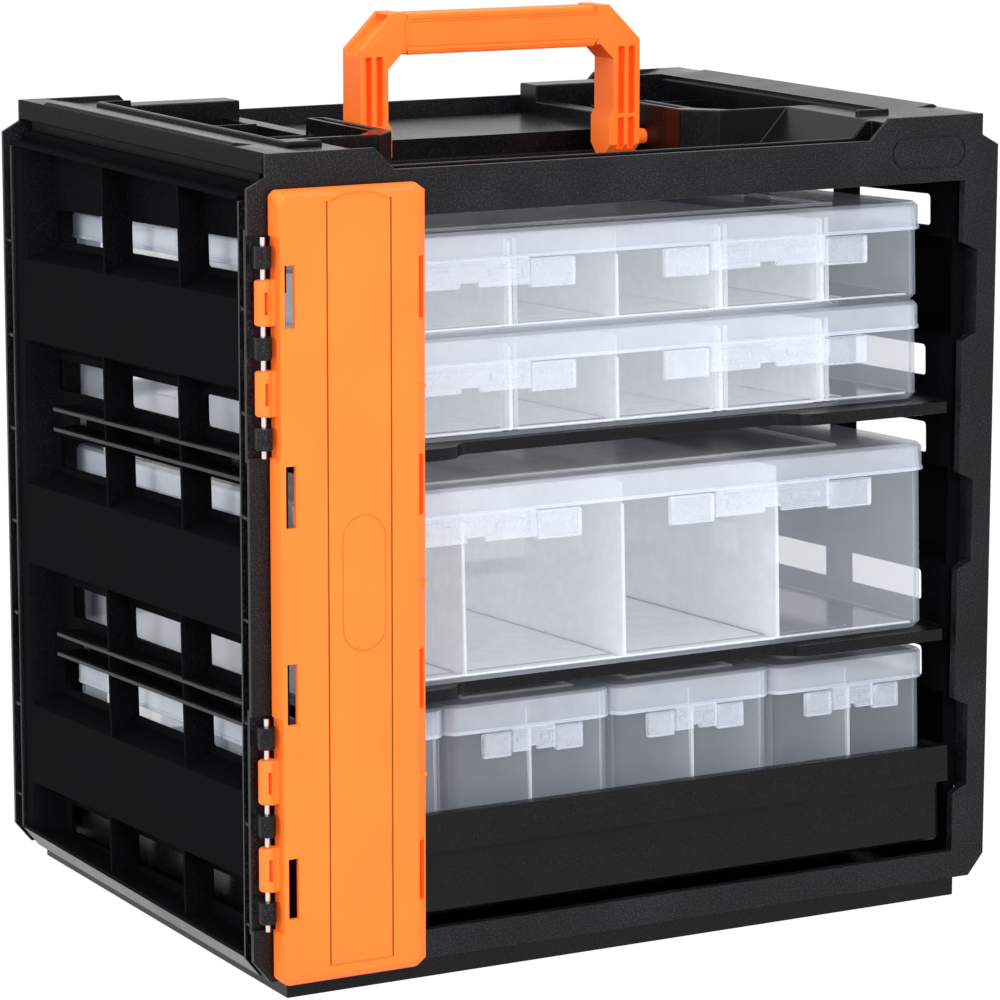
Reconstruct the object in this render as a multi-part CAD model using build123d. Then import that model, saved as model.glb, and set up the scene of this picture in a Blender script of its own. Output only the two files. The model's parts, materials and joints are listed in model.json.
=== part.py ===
from build123d import *
import os
from math import cos, hypot, radians, sin, tan

os.makedirs("parts", exist_ok=True)

# Sizes are in millimetres. X runs left to right across the front and is 0 in the middle.
# In the functions y counts backwards from the front plate, and save() centres the depth.

# Case
case_width = 420.0
case_depth = 296.0
wall = 2.5
frame_depth = 12.0
half_case = case_width / 2
back_inside = case_depth - frame_depth

# Storage module: four levels at one pitch, all sloping down to the back so that nothing slides out
tilt = 2.5
slope = tan(radians(tilt))
level_ref_y = 20.0
level_pitch = 118.1
base_level = 20.4
shelf_levels = [base_level + level_pitch, base_level + 2 * level_pitch]
deck_level = base_level + 3 * level_pitch

# Outline of the front and back plates, with an ear at each top corner
rail_rise = 20.6
ear_rise = 10.7
shoulder_step = 9.6
shoulder_drop = 5.3
foot_slope = 11.0
plinth_inset = 18.0
ear_width = 66.0
rail_top = deck_level + rail_rise
ear_top = rail_top + ear_rise
side_top = rail_top - shoulder_drop
side_foot = base_level
ear_inner = half_case - ear_width
plate_bottom = side_foot - foot_slope

# Front opening with three finger notches in each stile
stile = 20.0
sill = 3.5
opening_lip = 5.0
notch_depth = 8.5
notch_height = 50.0
notch_chamfer = 4.0
open_half = half_case - stile
open_bottom = side_foot + sill
open_top = deck_level - 2.0

# Side channels of the frames, and the border of the back frame
channel_inset = 11.0
web_pitch = 49.4
first_web = side_foot + 16.8
back_border = 50.0
badge_inset = 42.3
badge_width = 44.0
badge_height = 16.5

# Side panels
panel_inset = 2.0
pocket_depth = 13.3
panel_skin = 2.2
pocket_half = 38.0
pocket_floor_half = 32.0
rib = 2.0
rib_pitch = 90.0
first_rib = 81.5
window_low = 12.0
window_high = 28.2
window_margin = 35.0
runner_rise = 5.2
runner_proud = 11.0
tab_size = 9.0
first_tab = 47.0
tab_pitch = 91.0
flange_drop = 6.0
flange_rim = 5.2
panel_out = half_case - panel_inset
floor_out = panel_out - pocket_depth
floor_in = floor_out - panel_skin
flange_bottom = side_top - flange_drop
flange_top = flange_bottom + rib
runner_end = case_depth - 56.0
window_rear = case_depth - window_margin
left_ribs = [first_rib, first_rib + rib_pitch]
right_ribs = [case_depth - y for y in reversed(left_ribs)]
tab_rows = [first_tab + k * tab_pitch for k in range(3)]

# Windows beside each level: index of the level, side of it and rear edge
window_rows = [
    (3, -1, window_rear),
    (2, 1, window_rear),
    (2, -1, window_rear),
    (1, 1, window_rear - 15),
    (1, -1, window_rear),
    (0, 1, window_rear - 8),
]

# Running gap between neighbouring pieces
gap = 0.3

# Shelves
shelf_plate = 2.5
shelf_lip = 6.0
shelf_front = 3.0
shelf_set_back = 13.0
shelf_rise = 2.5
wing_width = 82.0
wing_step = 12.0
wing_end = open_half - 6.0
wing_start = wing_end - wing_width

# Wide boxes
box_side_gap = 11.0
box_wall = 1.6
box_round = 9.0
box_flats = 4
box_edge = 3.2
lid_over = 1.6
lid_skirt = 14.0
lid_plate = 1.8
lid_edge = 2.4
lid_border = 43.0
lid_frame_y = 17.0
lid_frame_width = 3.6
lid_frame_high = 0.8
stack_room = 17.3
deep_room = 22.1
shallow_front = 18.6
stack_step = 1.2
deep_front = 10.5
rear_room = 2.4
guide_width = 3.4
blade_half = 0.6
latch_inset = 94.5
latch_half = 33.3
latch_height = 14.0
latch_thick = 2.6
latch_tuck = 1.0
lug_width = 24.5
lug_proud = 4.0
box_half = open_half - box_side_gap
lid_frame_x = box_half - lid_border
latch_centre = box_half - latch_inset
shallow_height = (level_pitch - stack_room) / 2
deep_height = level_pitch - deep_room

# Drawer and its four bins
drawer_side_gap = 1.4
drawer_wall = 2.0
drawer_front = 1.0
drawer_lift = 8.5
drawer_height = 51.0
drawer_rear_room = 16.0
band_height = 19.0
band_step = 5.0
band_depth = 9.0
rail_start = 60.0
rail_inset = 40.0
bin_count = 4
bin_gap = 0.4
bin_wall = 1.5
bin_round = 6.0
bin_flats = 3
bin_room = 21.5
bin_front = 20.0
bin_rear_room = 24.0
bin_latch_half = 12.0
bin_lug = 15.0
drawer_half = open_half - drawer_side_gap
drawer_bottom = base_level + drawer_lift
drawer_depth = back_inside - drawer_rear_room
bin_pitch = 2 * (drawer_half - drawer_side_gap) / bin_count
bin_half = (bin_pitch - bin_gap) / 2 - lid_over
bin_depth = back_inside - bin_front - bin_rear_room
bin_height = level_pitch - bin_room

# Carry handle
handle_half = 81.0
handle_thick = 20.0
handle_rise = 60.9
leg_width = 15.6
leg_wall = 2.9
leg_rib = 2.4
leg_pocket = 6.5
bar_height = 20.0
corner_cut = 18.0
grip_cut = 8.0
grip_round = 6.0
foot_extra = 2.3
foot_half = 10.0
foot_clip = 2.8
pivot_r = 4.0
handle_top = rail_top + handle_rise
handle_y = case_depth / 2
foot_reach = hypot(handle_thick / 2, foot_clip)

# Top deck: front tray, two rear trays, the handle's well and a platform behind it
deck_inset = 9.0
deck_overhang = 3.0
deck_skin = 2.5
deck_floor = open_top + deck_skin + gap
deck_top = rail_top + 8.2
deck_edge = rail_top + 12.2
deck_wall_y = 16.0
skirt_low = rail_top + 1.0
rim_inset = 33.5
rim_thick = 2.5
rim_top = rail_top + 11.0
rim_start = 40.0
scoop_foot_inset = 47.5
scoop_lip_inset = 22.5
tray_inset = 2.5
well_gap = 8.0
well_corner = 14.5
left_tray_gap = 74.0
right_tray_gap = 52.0
platform_gap = 38.0
platform_top = deck_floor + 11.5
tray_wall_back = 14.0
deck_half = half_case - deck_inset
deck_neck = deck_half - deck_overhang
rim_inner = deck_half - rim_inset
tray_half = rim_inner - tray_inset
well_half = handle_half + well_gap
platform_y = handle_y + platform_gap
pivot_z = deck_floor + foot_half + 1.0
foot_top = pivot_z + 11.5
tray_walls = [platform_y - 28.0, platform_y + 34.0]

# Door and hinges
hinge_inset = 5.8
hinge_y = -4.0
knuckle_r = 4.1
pin_r = 1.25
pin_clearance = 0.06
knuckle_pitch = 42.6
knuckle_tall = 21.4
frame_knuckle_tall = 10.7
hinge_pocket_half = 52.2
hinge_pocket_deep = 3.0
door_offset = 3.9
door_width = 79.5
door_back = -1.0
door_front = -11.0
door_bottom = 8.5
door_skin = 2.2
door_bevel = 3.0
door_round_x = 6.5
door_round_y = 4.8
strip_offset = 25.8
strip_width = 33.4
strip_rise = 8.5
groove_width = 0.9
groove_depth = 0.6
arch_drop = 5.4
slot_offset = 3.9
slot_width = 5.2
slot_high = 29.5
slot_count = 4
first_slot = 48.8
slot_pitch = 94.35
oval_offset = 2.0
oval_width = 23.4
oval_height = 66.0
oval_low = 160.3
hinge_low = 79.55
hinge_high = 73.3
hinge_x = -half_case + hinge_inset
door_left = hinge_x + door_offset
door_right = door_left + door_width
door_top = side_top - 0.5
strip_left = door_left + strip_offset
strip_right = strip_left + strip_width
strip_bottom = door_bottom + strip_rise
slot_levels = [door_bottom + first_slot + k * slot_pitch for k in range(slot_count)]
hinge_group_z = [door_bottom + hinge_low, door_top - hinge_high]


def slab(x0, x1, y0, y1, z0, z1):
    return Pos((x0 + x1) / 2, (y0 + y1) / 2, (z0 + z1) / 2) * Box(x1 - x0, y1 - y0, z1 - z0)


def face_of(points):
    return make_face(Polyline(*points, close=True))


def along_y(points, y0, y1):
    plane = Plane(origin=(0, y1, 0), x_dir=(1, 0, 0), z_dir=(0, -1, 0))
    return extrude(plane * face_of(points), y1 - y0)


def along_x(points, x0, x1):
    plane = Plane(origin=(x0, 0, 0), x_dir=(0, 1, 0), z_dir=(1, 0, 0))
    return extrude(plane * face_of(points), x1 - x0)


def along_z(points, z0, z1):
    return Pos(0, 0, z0) * extrude(face_of(points), z1 - z0)


def rod(x, y, z0, z1, radius):
    return Pos(x, y, z0) * extrude(Circle(radius), z1 - z0)


def cross_rod(x0, x1, y, z, radius):
    plane = Plane(origin=(x0, y, z), x_dir=(0, 1, 0), z_dir=(1, 0, 0))
    return extrude(plane * Circle(radius), x1 - x0)


# Block with round upright corners, each in a few flats, which keeps the repeated boxes light
def rounded_block(half_x, y0, y1, z0, z1, radius, flats):
    right = []
    for middle, first in ((y0 + radius, -90), (y1 - radius, 0)):
        for k in range(flats + 1):
            turn = radians(first + 90 * k / flats)
            right.append((half_x - radius + radius * cos(turn), middle + radius * sin(turn)))
    return along_z(both_sides(right), z0, z1)


def clipped_block(half_x, y0, y1, z0, z1, cut):
    right = [(half_x - cut, y0), (half_x, y0 + cut), (half_x, y1 - cut), (half_x - cut, y1)]
    return along_z(both_sides(right), z0, z1)


def both_sides(points):
    return points + [(-x, z) for x, z in reversed(points)]


def mirrored(shape):
    return mirror(shape, Plane.YZ)


def tilted(shape, y, z):
    return Pos(0, y, z) * Rot(-tilt, 0, 0) * shape


def level_at(level, y):
    return level - (y - level_ref_y) * slope


def save(shape, name):
    placed = Pos(0, -case_depth / 2, 0) * shape
    placed.label = name
    export_step(placed, "parts/" + name + ".step")


# Case outline seen from the front, shared by the front and back frames
def plate_outline():
    ear = half_case - shoulder_step
    inner = half_case - ear_width
    half = [
        (half_case - plinth_inset, plate_bottom),
        (half_case - foot_slope + 2, plate_bottom),
        (half_case, side_foot),
        (half_case, side_top),
        (ear, rail_top),
        (ear, ear_top),
        (inner, ear_top),
        (inner - ear_rise, rail_top),
    ]
    return both_sides(half)


def opening_outline(extra=0.0):
    half = [(open_half + extra, open_bottom - extra)]
    for k in range(3):
        middle = base_level + (k + 0.5) * level_pitch
        low = middle - notch_height / 2 - extra
        high = middle + notch_height / 2 + extra
        deep = open_half + notch_depth + extra
        half.append((open_half + extra, low))
        half.append((deep, low + notch_chamfer))
        half.append((deep, high - notch_chamfer))
        half.append((open_half + extra, high))
    half.append((open_half + extra, open_top + extra))
    return both_sides(half)


# Open side channel of a frame: a back flange tied to the plate by short webs
def side_channel():
    inner = half_case - channel_inset
    top = flange_bottom - gap
    channel = slab(inner, inner + rib, 0, frame_depth, side_foot, top)
    channel += slab(inner, half_case - 0.5, frame_depth - rib, frame_depth, side_foot, top)
    z = first_web
    while z < top - 2 * channel_inset:
        channel += slab(inner, half_case - 0.8, 0, frame_depth, z - 0.8, z + 0.8)
        z += web_pitch
    return channel


# Sunk ring with round ends, as a body to be cut from a front face
def oval_groove(width, height, y, depth, x, z, line):
    plane = Plane(origin=(x, y + depth, z), x_dir=(1, 0, 0), z_dir=(0, -1, 0))
    end = min(width, height) / 2 - 0.01
    ring = RectangleRounded(width, height, end)
    ring -= RectangleRounded(width - 2 * line, height - 2 * line, end - line)
    return extrude(plane * ring, depth + 1)


def knuckle_barrel(low, tall):
    return Pos(hinge_x, hinge_y, low) * extrude(RegularPolygon(knuckle_r, 12), tall)


# The frame's knuckles hold the pins in twelve-sided holes, whose flats touch the pins
def hinge_knuckles():
    body = None
    arm_half = knuckle_r - 1
    hole = RegularPolygon(pin_r, 12, major_radius=False)
    for group in hinge_group_z:
        for k in (-1, 0, 1):
            low = group + k * knuckle_pitch - frame_knuckle_tall / 2
            high = low + frame_knuckle_tall
            arm = slab(hinge_x - arm_half, hinge_x + arm_half, hinge_y, hinge_pocket_deep + 0.1, low, high)
            knuckle = knuckle_barrel(low, frame_knuckle_tall) + arm
            knuckle -= Pos(hinge_x, hinge_y, low) * extrude(hole, frame_knuckle_tall)
            body = knuckle if body is None else body + knuckle
    return body


def hinge_pocket(group):
    low = group - hinge_pocket_half
    high = group + hinge_pocket_half
    edge = -half_case + 0.5
    inner = -half_case + 14.0
    back = hinge_pocket_deep + wall
    floor = slab(edge, inner, hinge_pocket_deep, back, low - wall, high + wall)
    floor += slab(edge, inner, 0.5, back, high, high + wall)
    floor += slab(edge, inner, 0.5, back, low - wall, low)
    return floor, slab(-half_case - 1, inner - wall, -1, hinge_pocket_deep, low, high)


def front_frame():
    body = along_y(plate_outline(), 0, wall)
    body += along_y(opening_outline(rib), 0, opening_lip)
    body += side_channel()
    body += mirrored(side_channel())
    for group in hinge_group_z:
        floor, pocket = hinge_pocket(group)
        body += floor
        body -= pocket
    body -= along_y(opening_outline(), -1, frame_depth + 1)
    body += hinge_knuckles()
    badge_z = (open_top + side_top) / 2 + wall + 4
    body -= oval_groove(badge_width, badge_height, 0, 0.6, half_case - badge_inset, badge_z, 1.0)
    return body


def back_frame():
    ring = along_y(plate_outline(), 0, wall)
    hole_half = half_case - back_border
    low = open_bottom + 4
    high = open_top - 1
    ring += slab(-hole_half - rib, hole_half + rib, 0, frame_depth, low - rib, high + rib)
    ring -= slab(-hole_half, hole_half, -1, frame_depth + 1, low, high)
    ring += side_channel()
    ring += mirrored(side_channel())
    for level in shelf_levels:
        z = level_at(level, back_inside)
        ring += slab(-hole_half - 1, hole_half + 1, 0, frame_depth - rib, z - 9, z + 9)
        ring -= slab(-hole_half + 4, hole_half - 4, wall, frame_depth, z - 7, z + 7)
    return Pos(0, case_depth, 0) * Rot(0, 0, 180) * ring


# Corrugated side wall: raised skin between the levels, deep pockets around each level
def panel_profile():
    outer = [(panel_out, -40)]
    inner = [(panel_out - panel_skin, -40)]
    for k in range(4):
        level = base_level + k * level_pitch
        for way in (-1, 1):
            edge = (panel_out, level + way * pocket_half)
            foot = (floor_out, level + way * pocket_floor_half)
            back_edge = (panel_out - panel_skin, level + way * (pocket_half + 1.6))
            back_foot = (floor_in, level + way * (pocket_floor_half + 1.6))
            if way < 0:
                outer += [edge, foot]
                inner += [back_edge, back_foot]
            else:
                outer += [foot, edge]
                inner += [back_foot, back_edge]
    above = ear_top + pocket_half
    outer.append((panel_out, above))
    inner.append((panel_out - panel_skin, above))
    return outer + list(reversed(inner))


def pocket_profile():
    return [
        (floor_out - 0.5, -pocket_floor_half),
        (panel_out, -pocket_half),
        (panel_out, pocket_half),
        (floor_out - 0.5, pocket_floor_half),
    ]


# Skin that rises from the pocket floors to the raised face just in front of the back frame
def rear_blend():
    start = window_rear + 2
    points = [
        (floor_out - 0.5, start),
        (panel_out - 3, start + 6),
        (panel_out, start + 11),
        (panel_out, back_inside),
        (panel_out - panel_skin, back_inside),
        (panel_out - panel_skin, start + 12),
        (panel_out - 3 - panel_skin, start + 8),
        (floor_in, start + panel_skin),
    ]
    return along_z(points, side_foot + rib - 0.5, flange_bottom - 1)


# Windows beside the levels, each row split by the ribs
def window_holes(rib_list):
    holes = []
    walls = [window_margin] + [y + way * rib / 2 for y in rib_list for way in (-1, 1)]
    for index, way, rear in window_rows:
        low = min(way * window_low, way * window_high)
        high = max(way * window_low, way * window_high)
        edges = [y - level_ref_y for y in walls + [rear]]
        for n in range(0, len(edges), 2):
            hole = slab(floor_in - 1, floor_out + 0.6, edges[n], edges[n + 1], low, high)
            holes.append(tilted(hole, level_ref_y, base_level + index * level_pitch))
    return holes


# Outside ribs below and above each shelf, and the holes for the shelf's tabs
def shelf_seats(level):
    runners = []
    holes = []
    for way in (-1, 1):
        z = way * runner_rise
        back = runner_end - level_ref_y
        runner = slab(floor_out - 0.5, floor_out + runner_proud, -20, back, z - rib / 2, z + rib / 2)
        runners.append(tilted(runner, level_ref_y, level))
    reach = runner_rise - rib / 2
    for y in tab_rows:
        low = y - tab_size / 2 - level_ref_y
        hole = slab(floor_in - 1, floor_out + 1, low, low + tab_size, -reach, reach)
        holes.append(tilted(hole, level_ref_y, level))
    return runners, holes


def side_panel(rib_list):
    body = tilted(along_y(panel_profile(), -20, case_depth + 40), level_ref_y, 0)
    for k in range(4):
        level = base_level + k * level_pitch
        for y in rib_list:
            web = along_y(pocket_profile(), y - level_ref_y - rib / 2, y - level_ref_y + rib / 2)
            body += tilted(web, level_ref_y, level)
    for hole in window_holes(rib_list):
        body -= hole
    for level in shelf_levels:
        runners, holes = shelf_seats(level)
        for runner in runners:
            body += runner
        for hole in holes:
            body -= hole
    body += rear_blend()
    body &= slab(floor_in - 5, half_case + 5, frame_depth, back_inside, side_foot, flange_bottom)
    body += slab(floor_in, half_case - 0.2, frame_depth, back_inside, flange_bottom, flange_top)
    rim_edge = flange_top + flange_rim
    body += slab(deck_half - 1.7, deck_half + 0.3, frame_depth, back_inside, flange_top, rim_edge)
    body += slab(floor_in, half_case - 0.5, frame_depth, back_inside, side_foot, side_foot + rib)
    edge = half_case - channel_inset
    body += slab(floor_in, edge, frame_depth, frame_depth + rib, side_foot, flange_bottom)
    body += slab(floor_in, edge, back_inside - rib, back_inside, side_foot, flange_bottom)
    return body


def drawer_rest(y):
    return drawer_bottom - gap - (y - drawer_front) * slope


# Base tray: sloping sides, a floor, drawer rails and a plinth to stand on
def base():
    low = half_case - plinth_inset
    floor = plate_bottom + rib
    points = [
        (low, plate_bottom),
        (half_case - foot_slope + 2, plate_bottom),
        (half_case - 0.3, side_foot),
        (half_case - 4, side_foot),
        (half_case - foot_slope, floor),
    ]
    body = along_y(both_sides(points), frame_depth, back_inside)
    plinth = slab(-low, low, 1, case_depth - 1, 0, plate_bottom)
    plinth -= slab(-low + 3, low - 3, 4, case_depth - 4, -1, plate_bottom - rib)
    for k in (-1, 0, 1):
        x = k * low * 0.62
        y = case_depth / 2 + k * case_depth * 0.27
        plinth += slab(x - 1.2, x + 1.2, 2, case_depth - 2, 0, plate_bottom)
        plinth += slab(-low + 1, low - 1, y - 1.2, y + 1.2, 0, plate_bottom)
    body += plinth
    rail_back = back_inside - 6
    top = [
        (rail_start, floor - 0.5),
        (rail_back, floor - 0.5),
        (rail_back, drawer_rest(rail_back)),
        (rail_start, drawer_rest(rail_start)),
    ]
    for k in (-1, 0, 1):
        x = k * (open_half - rail_inset)
        body += along_x(top, x - 3, x + 3)
    return body


def deck_profile():
    half = [
        (floor_in, deck_floor - deck_skin),
        (floor_in, flange_top),
        (deck_neck, flange_top),
        (deck_neck, skirt_low),
        (deck_half, skirt_low),
        (deck_half, deck_edge - 4.5),
        (deck_half - 1.4, deck_edge - 1.6),
        (deck_half - 4.0, deck_edge),
        (rim_inner + rim_thick, deck_top),
        (rim_inner + rim_thick, rim_top),
        (rim_inner, rim_top),
        (rim_inner, deck_top),
    ]
    return both_sides(half)


# Front tray, with a sloping scoop at each end
def front_tray():
    foot = rim_inner - scoop_foot_inset
    lip = rim_inner - scoop_lip_inset
    start = deck_wall_y + deck_skin
    above = ear_top + deck_skin
    profile = both_sides([(foot, deck_floor), (lip, deck_top), (lip, above)])
    tray = along_y(profile, start, handle_y - left_tray_gap)
    right = along_y(profile, start, handle_y - right_tray_gap)
    return tray + (right & slab(0, half_case, 0, case_depth, deck_floor - 1, above + 1))


def well_outline():
    left = handle_y - left_tray_gap
    right = handle_y - right_tray_gap
    return [
        (-well_half, platform_y),
        (-well_half, left + well_corner),
        (-well_half - well_corner, left - 0.01),
        (well_half + well_corner, left - 0.01),
        (well_half + well_corner, right),
        (well_half, right + well_corner),
        (well_half, platform_y),
    ]


# Right rear tray with its two cross walls, and the groove in the double wall beside the well
def rear_tray(front):
    inner = well_half + 2 * deck_skin + 5.5
    back = back_inside - rim_start / 2 - rib
    above = ear_top + deck_skin
    corner = [
        (inner, back),
        (inner, front + well_corner + 4),
        (inner + well_corner, front + deck_skin),
        (tray_half, front + deck_skin),
        (tray_half, back),
    ]
    tray = along_z(corner, deck_floor + 1.5, above)
    for y in tray_walls:
        tray -= slab(inner - 1, tray_half + 1, y - rib / 2, y + rib / 2, deck_floor, deck_top - 8)
    low_wall = handle_y + tray_wall_back
    outer = well_half + deck_skin
    groove = slab(outer, inner - deck_skin, front + 22, low_wall - rib, deck_floor + 16, above)
    saddle = slab(well_half - 0.5, inner + 0.5, low_wall, back, rail_top - 0.8, above)
    return tray + groove + saddle


# Hollow below the deck's edge, the scoops and the rear strip, seen from the right
def deck_hollow(front):
    foot = rim_inner - scoop_foot_inset + 3.4
    lip = rim_inner - scoop_lip_inset + 1.2
    under = deck_floor - 3 * deck_skin
    roof = deck_top - deck_skin
    edge = floor_in - deck_skin
    chute = [(foot, under), (foot, deck_floor), (lip, roof), (edge, roof), (edge, under)]
    hollow = along_y(chute, deck_wall_y + deck_skin + 1, front)
    hollow += slab(tray_half + deck_skin, edge, front - 1, back_inside - 4, under, roof)
    rear = back_inside - rim_start / 2 - rib + deck_skin
    hollow += slab(ear_inner + deck_skin, edge, rear, back_inside - 2 * deck_skin, under, roof)
    return hollow


# Upright rim on the deck with its two ends turned inward
def rim_ends():
    turn = rim_inner - 16.5
    front = slab(turn, rim_inner + 1, rim_start, rim_start + rim_thick, deck_top - 1, rim_top)
    back = back_inside - rim_start / 2
    return front + slab(turn, rim_inner + 1, back - rim_thick, back, deck_top - 1, rim_top)


def top_deck():
    above = ear_top + 3 * deck_skin
    skirt = [(x, z) for x, z in deck_profile() if z >= skirt_low]
    body = along_y(deck_profile(), frame_depth, back_inside)
    body += along_y(skirt, wall, case_depth - wall)
    rim_edge = rim_inner + rim_thick + 0.01
    for y0, y1 in ((0, rim_start), (back_inside - rim_start / 2, case_depth)):
        body -= slab(-half_case, half_case, y0, y1, ear_top, above)
        body -= slab(-rim_edge, rim_edge, y0, y1, deck_top, above)
    body += rim_ends()
    body += mirrored(rim_ends())
    saddle = both_sides([(ear_inner - ear_rise - 1, rail_top), (ear_inner, ear_top + 1)])
    body -= along_y(saddle, 0, deck_wall_y + deck_skin + 0.5)
    body -= along_y(saddle, back_inside - deck_skin - 0.5, case_depth)
    for y0, y1 in ((0, deck_wall_y), (case_depth - deck_wall_y, case_depth)):
        body -= slab(-ear_inner, ear_inner, y0, y1, flange_top, above)
    body -= front_tray()
    body -= along_z(well_outline(), deck_floor, above)
    body -= slab(-well_half, well_half, platform_y - 1, back_inside - deck_skin, platform_top, above)
    body -= rear_tray(handle_y - right_tray_gap)
    body -= mirrored(rear_tray(handle_y - left_tray_gap))
    body -= deck_hollow(handle_y - right_tray_gap)
    body -= mirrored(deck_hollow(handle_y - left_tray_gap))
    under = deck_floor - 3 * deck_skin
    start = platform_y + deck_skin
    body -= slab(-well_half + 4, well_half - 4, start, back_inside - 4, under, platform_top - deck_skin)
    back = handle_y + foot_reach + gap
    stop = slab(handle_half - 1, well_half + 1, back, back + deck_skin, deck_floor - 1, deck_floor + 17)
    body += stop
    body += mirrored(stop)
    end = well_half + deck_skin
    body -= cross_rod(-end, end, handle_y, pivot_z, pivot_r + 0.08)
    return body


# Shelf with two forward wings, a rolled front lip and side tabs
def shelf_outline(front_half):
    step = wing_start - wing_step
    half = [
        (step - wing_step * 0.3, shelf_set_back),
        (step, shelf_set_back - 1.5),
        (step + wing_step * 0.45, shelf_set_back - 7.0),
        (step + wing_step * 0.6, 2.5),
        (wing_start, 0.6),
        (wing_start + 3.5, 0),
        (front_half, 0),
        (front_half, 14),
        (floor_in, 14),
        (floor_in, back_inside - shelf_front - 2),
    ]
    return both_sides(half)


# The space behind the shelf's rolled lip
def lip_hollow(front_half):
    half = [(x, y + 2.6) for x, y in shelf_outline(front_half) if y < 14 and 0 < x < front_half]
    half += [(front_half - 2.4, 2.6), (front_half - 2.4, 40)]
    return both_sides(half)


def shelf(level):
    outline = shelf_outline(wing_end)
    body = along_z(outline, 0, shelf_plate)
    lip = along_z(outline, shelf_plate - shelf_lip, shelf_plate)
    lip &= slab(-wing_end, wing_end, -1, shelf_set_back + 2.6, -shelf_lip, shelf_lip)
    body += lip - along_z(lip_hollow(wing_end), -shelf_lip, 0)
    back = back_inside - shelf_front - 12
    for k in range(-2, 3):
        x = k * box_half / 3
        body += slab(x - 1, x + 1, shelf_set_back + 2, back, shelf_plate - shelf_lip + 1.5, 1)
    reach = runner_rise - rib / 2 - gap
    for y in tab_rows:
        low = y - shelf_front - tab_size / 2 + gap
        tab = slab(floor_in - 1, floor_out + 0.5, low, low + tab_size - 2 * gap, -reach, reach)
        body += tab
        body += mirrored(tab)
    return tilted(body, shelf_front, level_at(level, shelf_front) + shelf_rise - shelf_plate)


def open_tub(half, depth, height, wall_size, radius, edge, floor_size, flats):
    outer = rounded_block(half, 0, depth, 0, height, radius, flats)
    low = outer.faces().sort_by(Axis.Z)[0]
    outer = chamfer(low.edges(), edge)
    inner = half - wall_size
    corner = (radius - wall_size) * 0.7
    return outer - clipped_block(inner, wall_size, depth - wall_size, floor_size, height + 1, corner)


# Lid with skirt and a low frame on top that keys into the box above
def lid_shape(half, depth, skirt, radius, edge, frame_half, frame_y, flats):
    over = lid_over
    outer = rounded_block(half + over, -over, depth + over, -skirt, 0, radius + over, flats)
    top = outer.faces().sort_by(Axis.Z)[-1]
    outer = chamfer(top.edges(), edge)
    corner = (radius + gap) * 0.58
    body = outer - clipped_block(half + gap, -gap, depth + gap, -skirt - 1, -lid_plate, corner)
    ring = slab(-frame_half, frame_half, frame_y, depth - frame_y, -0.5, lid_frame_high)
    inner = frame_half - lid_frame_width
    start = frame_y + lid_frame_width
    return body + (ring - slab(-inner, inner, start, depth - start, -1, 2))


def lug(x0, x1, top, height):
    points = [
        (0.2, top),
        (-lug_proud, top),
        (-lug_proud, top - height * 0.75),
        (-lug_proud + 1.5, top - height),
        (0.2, top - height),
    ]
    return along_x(points, x0, x1)


def partition(x, depth, height):
    return slab(x - blade_half, x + blade_half, box_wall - 0.2, depth - box_wall + 0.2, box_wall, height - 3)


# Box base with a recess below for the ring of the lid under it, and two lugs beside each latch
def wide_base(depth, height):
    body = open_tub(box_half, depth, height, box_wall, box_round, box_edge, box_wall + 1.0, box_flats)
    reach = lid_frame_x + 2
    front = lid_frame_y - 2
    roof = lid_frame_high + 0.4
    body -= slab(-reach, reach, front, depth - front, -1, roof)
    body += slab(-reach - 1, reach + 1, front - 1, depth - front + 1, roof, box_wall + 1.6)
    top = height - lid_skirt + lid_plate - 1
    for side in (-1, 1):
        for start in (latch_half + 1.0, -latch_half - 1.0 - lug_width):
            x0 = side * latch_centre + start
            body += lug(x0, x0 + lug_width, top, latch_height)
    return body


# Channels at the front and back wall that hold a divider
def guide_pair(x, depth, height):
    body = None
    for y0, y1 in ((box_wall - 0.2, box_wall + 4), (depth - box_wall - 4, depth - box_wall + 0.2)):
        for way in (-1, 1):
            near = x + way * (blade_half + gap)
            far = near + way * guide_width
            piece = slab(min(near, far), max(near, far), y0, y1, box_wall, height - 3)
            body = piece if body is None else body + piece
    return body


def divider(x, depth, height):
    edge = box_wall + gap
    return slab(x - blade_half, x + blade_half, edge, depth - edge, edge + 1.6, height - 4)


# Latch plate with a sunk face, two bars and a notch, hanging between two lugs
def latch(half, height):
    back = -lid_over - 0.3
    face = back - latch_thick
    plate = slab(-half, half, face, back, -height, 0)
    plate -= slab(-half * 0.88, half * 0.88, face - 1, face + 0.8, -height * 0.8, -height * 0.2)
    plate -= slab(-half * 0.15, half * 0.15, face - 1, back + 1, -height - 1, -height * 0.82)
    for side in (-1, 1):
        near = min(side * half * 0.33, side * half * 0.81)
        far = max(side * half * 0.33, side * half * 0.81)
        plate += slab(near, far, face - 0.6, face + 1, -height * 0.62, -height * 0.38)
    return plate


def shallow_place(index):
    y = shallow_front + index * stack_step
    low = level_at(shelf_levels[1], shallow_front) + shelf_rise + gap
    return y, low + index * (shallow_height + gap)


# Depth that ends in front of the back frame, allowing for the lean of the box's height
def box_reach(y, height):
    return back_inside - y - lid_over - height * slope - rear_room


def save_lid_and_latches(name, depth, height, y, z):
    ring = lid_shape(box_half, depth, lid_skirt, box_round, lid_edge, lid_frame_x, lid_frame_y, box_flats)
    save(tilted(Pos(0, 0, height) * ring, y, z), name + "_lid")
    for side, word in ((-1, "left"), (1, "right")):
        plate = Pos(side * latch_centre, 0, height - lid_skirt + latch_tuck) * latch(latch_half, latch_height)
        save(tilted(plate, y, z), name + "_latch_" + word)


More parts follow.
